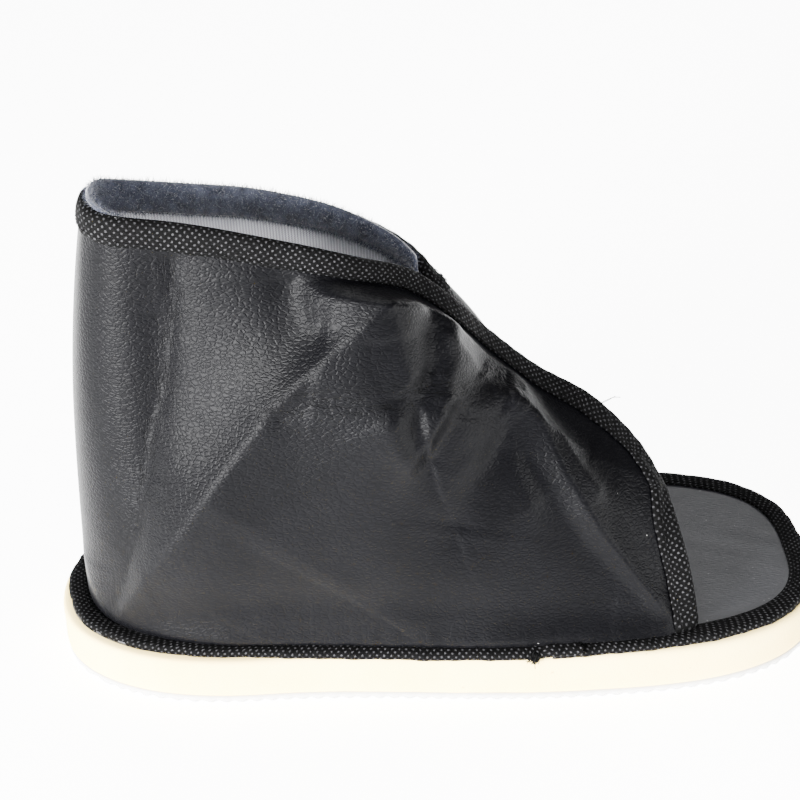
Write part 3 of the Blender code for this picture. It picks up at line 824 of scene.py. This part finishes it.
def edge_tape(name, shares):
    """Tape folded over the edge as a soft channel with a leg on each face of the sheet."""
    clear, thick, w, far_width = 0.0003, 0.0010, tape_width, 0.0080
    channel = [
        # way in from the edge, way out of the upper's outer face
        (w, clear), (w + 0.0001, 0.55 * thick + clear), (0.75 * w, thick + 1.6 * clear),
        (0.3 * w, thick + 2 * clear), (0.0, thick + clear), (-0.0012, 0.0), (-0.0015, -0.5 * wall),
        (-0.0012, -wall), (0.0, -wall - thick - clear), (0.3 * w, -wall - thick - 2 * clear),
        (w, -wall - thick - clear), (w, -wall - clear), (0.3 * w, -wall - clear), (0.0, -wall),
        (-0.0003, -0.5 * wall), (0.0, 0.0), (0.3 * w, clear),
    ]
    size = 34
    ring = rounded(channel, size)[::-1]
    spots, outs, into, along = edge_line(shares, ring_step)
    sway = waves(along, [(0.00014, 211, 0), (0.0001, 467, 1), (0.00006, 1130, 2)])
    points = []
    for spot, out, inward, wander, s in zip(spots, outs, into, sway, along):
        bases, wide_here = {}, far_width
        if spot[1] < 0:
            wide_here = np.interp((spot[0] + length / 2) * 1000, *zip(*near_width)) / 1000
        for back, away in ring:
            share = max(back, 0.0) * wide_here / w
            key = round(share, 4)
            if key not in bases:
                moved = spot + inward * (share + wander * share / w)
                bases[key] = on_sheet(moved, out) if share > 0 else (moved, out)
            base, way = bases[key]
            puff = 0.00012 * math.sin(s * 890 + back * 900) if away > 0 else 0
            points.append(base + inward * min(back, 0) + way * (away + puff))
    made = mesh_piece(name, points, rings(len(spots), size, False), tape_black)
    write_uv(made, "tape", np.repeat(along, size), np.tile(run_along(ring), len(along)))
    return made


fronts = []
for u in (0, 1):
    line = np.array([grid_point(sheet, u, v) for v in np.linspace(0, 1, 200)])
    fronts.append(np.interp(insole_top + 0.0021, line[:, 2], np.linspace(0, 1, 200)))
hidden_from, far_top = 0.94, 0.72
main_run = [(0, v) for v in np.linspace(fronts[0], 1, 80)]
main_run += [(u, 1) for u in np.linspace(0, hidden_from, 400)[1:]]
far_run = [(1, v) for v in np.linspace(fronts[1], far_top, 80)][::-1]
for name, run, node_name in (("edge_binding_tape", main_run, "edge_binding"),
                             ("far_flap_tape", far_run, "far_flap_binding")):
    tape = edge_tape(name, run)
    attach(tape, "root")
    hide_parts(node_name)


def new_tree(name, keys):
    """An empty geometry tree with number inputs and one geometry output."""
    tree = bpy.data.node_groups.new(name, "GeometryNodeTree")
    tree.interface.new_socket("Geometry", in_out="INPUT", socket_type="NodeSocketGeometry")
    for key in keys:
        tree.interface.new_socket(key, in_out="INPUT", socket_type="NodeSocketFloat")
    tree.interface.new_socket("Geometry", in_out="OUTPUT", socket_type="NodeSocketGeometry")
    return tree, tree.nodes.new("NodeGroupInput"), tree.nodes.new("NodeGroupOutput")


def baked(made, tree, values):
    """Runs a node tree on a piece and leaves the plain mesh that it makes."""
    step = made.modifiers.new("nodes", "NODES")
    step.node_group = tree
    for item in tree.interface.items_tree:
        if item.item_type == "SOCKET" and item.in_out == "INPUT" and item.name in values:
            step[item.identifier] = values[item.name]
    plain_mesh(made, step)


# Seam that holds the tape: black thread in short even stitches, a little in from the tape's inner
# edge, all the way round.
thread_black, tree, shader = finish("thread_black", (0.0012, 0.0012, 0.0013), 0.6, Specular_IOR_Level=0.05)
where = add(tree, "TexCoord").outputs["Object"]
bumped(tree, shader, noise(tree, where, 5200.0, 2.0), 0.5, 0.0001)

tree, given, result = new_tree("stitches", ("Pitch", "Thread"))
curve = add(tree, "GeometryNodeMeshToCurve", {"Mesh": given.outputs["Geometry"]})
even = add(tree, "GeometryNodeResampleCurve",
           {"Curve": curve.outputs["Curve"], "Length": given.outputs["Pitch"]}, mode="LENGTH")
stitch = add(tree, "GeometryNodeMeshUVSphere", {"Segments": 6, "Rings": 5, "Radius": 1.0})
half_long = maths(tree, "MULTIPLY", given.outputs["Pitch"], 0.40)
scale = add(tree, "CombineXYZ", {0: half_long, 1: given.outputs["Thread"], 2: given.outputs["Thread"]})
tangent = add(tree, "GeometryNodeInputTangent")
turn = add(tree, "FunctionNodeAlignRotationToVector", {"Vector": tangent.outputs[0]}, axis="X")
copies = add(tree, "GeometryNodeInstanceOnPoints",
             {"Points": even.outputs["Curve"], "Instance": stitch.outputs["Mesh"],
              "Rotation": turn.outputs[0], "Scale": scale.outputs[0]})
real = add(tree, "GeometryNodeRealizeInstances", {0: copies.outputs[0]})
dressed = add(tree, "GeometryNodeSetMaterial", {"Geometry": real.outputs[0], "Material": thread_black})
tree.links.new(dressed.outputs[0], result.inputs[0])

from_tape_edge, seam_rise, rim_share, rim_rise = 0.0016, 0.0014, 0.80, 0.00185
seam_line = []
for spot, out, inward in zip(*edge_line(main_run, ring_step)[:3]):
    base, way = on_sheet(spot + inward * (tape_width - from_tape_edge), out)
    seam_line.append(base + way * seam_rise)
rim_seam = [(*(a + (b - a) * rim_share), insole_top + rim_rise) for a, b in zip(outer, inner)]
for name, line, closed in (("edge_stitches", seam_line, False), ("rim_stitches", rim_seam, True)):
    mesh = bpy.data.meshes.new(name)
    n = len(line)
    edges = [(i, (i + 1) % n) for i in range(n if closed else n - 1)]
    mesh.from_pydata([tuple(p) for p in line], edges, [])
    stitches = bpy.data.objects.new(name, mesh)
    bpy.context.scene.collection.objects.link(stitches)
    baked(stitches, tree, {"Pitch": 0.0030, "Thread": 0.00017})
    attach(stitches, "root")


# Lining: grey knitted fabric bonded to the back of the leather, down to the insole. Its fine
# stitches run in columns up the wall.
course_pitch, wale_pitch = 0.0010, 0.0011
lining_grey, tree, shader = finish("lining_grey", (0.12, 0.12, 0.13), 0.9, Sheen_Weight=0.2,
                                   Specular_IOR_Level=0.2)
uv = add(tree, "UVMap", uv_map="knit")
split = add(tree, "SeparateXYZ", {0: uv.outputs[0]})
where = add(tree, "TexCoord").outputs["Object"]
lean = maths(tree, "MULTIPLY", split.outputs[1], 2 * math.pi / course_pitch)
course = maths(tree, "SINE", lean)
across_way = maths(tree, "MULTIPLY", split.outputs[0], 2 * math.pi / wale_pitch)
wale = maths(tree, "SINE", maths(tree, "MULTIPLY_ADD", course, 0.9, across_way))
loft = maths(tree, "MULTIPLY_ADD", maths(tree, "MULTIPLY", wale, course), 0.5, wale)
# The colour is darker between the knit's loops and lighter on their tops as painted shade, and it varies a
# little at random.
tone = ranged(tree, loft, -1.2, 1.2, 0.55, 1.15)
vary = ranged(tree, noise(tree, where, 70.0, 4.0), 0.3, 0.7, 0.85, 1.1)
shade = add(tree, "VectorMath", {0: (0.50, 0.505, 0.54), "Scale": maths(tree, "MULTIPLY", tone, vary)},
            operation="SCALE")
tree.links.new(shade.outputs[0], shader.inputs["Base Color"])
bumped(tree, shader, loft, 0.6, 0.0003)

behind_leather = 0.0014
inside = taut[4:-4:2, 6::2] - sheet_out[4:-4:2, 6::2] * behind_leather
wide, tall = inside.shape[:2]
faces = [quad[::-1] for quad in field_faces(wide, tall)]
lining = mesh_piece("knit_lining", inside.reshape(-1, 3), faces, lining_grey)
around = run_along(inside[:, tall // 2])
upward = np.concatenate([run_along(line) for line in inside])
write_uv(lining, "knit", np.repeat(around, tall), upward)
walled(lining, lining_thick)
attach(lining, "root")


# Collar plush: a strip of blue-grey pile glued inside the top of the collar. Its fibres stand up
# over the tape all round the far side.
plush_blue, tree, shader = finish("plush_blue", (0.03, 0.034, 0.05), 0.95, Sheen_Weight=0.6,
                                  Sheen_Roughness=0.4, Specular_IOR_Level=0.1)
where = add(tree, "TexCoord").outputs["Object"]
tufts = noise(tree, where, 260.0, 4.0, 0.7)
tone = ramp(tree, tufts, (0.012, 0.0135, 0.021), (0.048, 0.053, 0.074), 0.32, 0.72)
tree.links.new(tone, shader.inputs["Base Color"])
bumped(tree, shader, tufts, 0.6, 0.0006)

plush_tall, plush_over, plush_thick, near_sink, end_run = 0.0085, 0.0030, 0.0018, 0.0050, 0.006
spots, outs, into, along = edge_line([(u, 1) for u in np.linspace(0.27, 0.90, 400)], 0.0016)
sunk_by = near_sink * (0.5 - 0.5 * np.tanh((along / along[-1] - 0.39) * 18))
pile_profile = [
    # way down from the edge, way in from the upper's outer face
    (plush_tall, wall + 0.0008), (plush_tall + 0.0004, wall + 0.0016),
    (plush_tall * 0.6, wall + plush_thick + 0.0008), (0.001, wall + plush_thick + 0.001),
    (-plush_over, wall + plush_thick), (-plush_over - 0.0010, wall * 0.6),
    (-plush_over + 0.0006, wall * 0.4), (-0.0022, wall + 0.0006), (0.001, wall + 0.0013),
]
size = 18
ring = rounded(pile_profile, size)
points = []
for spot, out, inward, s, sunk in zip(spots, outs, into, along, sunk_by):
    full = min(max(min(s, along[-1] - s) / end_run, 0.15), 1)
    mid = spot - out * (wall + 0.0015)
    for down, deep in ring + (sunk, 0):
        moved = spot + inward * down
        base, way = on_sheet(moved, out) if down > 0 else (moved, out)
        points.append(mid + (base - way * deep - mid) * full)
plush = mesh_piece("collar_plush", points, rings(len(spots), size, False), plush_blue)

tree, given, result = new_tree("pile", ("Density", "Fibre", "Thin"))
spread = add(tree, "GeometryNodeDistributePointsOnFaces",
             {"Mesh": given.outputs["Geometry"], "Density": given.outputs["Density"], "Seed": 7})
fibre = add(tree, "GeometryNodeMeshCone",
            {"Vertices": 3, "Radius Top": 0.0, "Radius Bottom": given.outputs["Thin"],
             "Depth": given.outputs["Fibre"]})
tilt = add(tree, "FunctionNodeRandomValue", {"Min": (-0.8, -0.8, -3.1), "Max": (0.8, 0.8, 3.1), "Seed": 3},
           data_type="FLOAT_VECTOR")
to_turn = add(tree, "FunctionNodeEulerToRotation", {0: tilt.outputs[0]})
spin = add(tree, "FunctionNodeRotateRotation", {0: spread.outputs["Rotation"], 1: to_turn.outputs[0]},
           rotation_space="LOCAL")
size_of = add(tree, "FunctionNodeRandomValue", {2: 0.55, 3: 1.25, "Seed": 11})
copies = add(tree, "GeometryNodeInstanceOnPoints",
             {"Points": spread.outputs["Points"], "Instance": fibre.outputs["Mesh"],
              "Rotation": spin.outputs[0], "Scale": size_of.outputs[1]})
real = add(tree, "GeometryNodeRealizeInstances", {0: copies.outputs[0]})
joined = add(tree, "GeometryNodeJoinGeometry", {0: real.outputs[0]})
tree.links.new(given.outputs["Geometry"], joined.inputs[0])
dressed = add(tree, "GeometryNodeSetMaterial", {"Geometry": joined.outputs[0], "Material": plush_blue})
tree.links.new(dressed.outputs[0], result.inputs[0])
baked(plush, tree, {"Density": 3000000.0, "Fibre": 0.0021, "Thin": 0.00008})
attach(plush, "root")


# Loose ends: a pale pair of thread tails at the near flap's edge, and the frayed fibres where the
# insole's tape was cut at its lap.
thread_pale, tree, shader = finish("thread_pale", (0.10, 0.10, 0.10), 0.8, Specular_IOR_Level=0.1)
chance = np.random.default_rng(5)
snag = grid_point(sheet, 0.075, 1)
cut = np.array([0.0300, -0.0585, insole_top + 0.0002])
tails = [
    # anchored at, out by x, y and z in millimetres
    (snag, [(0.0, 0.0, 0.5), (2.5, 0.2, 1.6), (4.6, 0.0, 2.6), (7.4, -0.4, 2.7)]),
    (snag, [(0.6, 0.2, 0.3), (2.6, 0.8, 0.8), (4.4, 0.6, 2.0), (5.6, 0.2, 3.1)]),
]
frays = [(cut + chance.normal(0, 0.0009, 3) * (1, 0.3, 0.6),
          [(0, 0, 0), tuple(chance.normal((-0.4, -0.8, -0.6), 0.4)),
           tuple(chance.normal((-0.9, -1.2, -2.2), 0.7))])
         for turn in range(70)]
for name, strands, radius, look_of in (("loose_threads", tails, 0.00013, thread_pale),
                                       ("frayed_ends", frays, 0.00014, thread_black)):
    points, faces, count, size = [], [], 12, 5
    for anchor, path in strands:
        middle = smooth_curve([anchor + np.array(step) / 1000 for step in path], count)
        runs = unit(np.gradient(middle, axis=0))
        side = unit(np.cross(runs, (0.3, 0.9, 0.2)))
        above = np.cross(runs, side)
        faces += rings(count, size, False, len(points))
        for k in range(count):
            for turn in np.arange(size) * 2 * math.pi / size:
                points.append(middle[k] + radius * (side[k] * math.cos(turn) + above[k] * math.sin(turn)))
    strand = mesh_piece(name, points, faces, look_of)
    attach(strand, "root")


low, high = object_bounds()
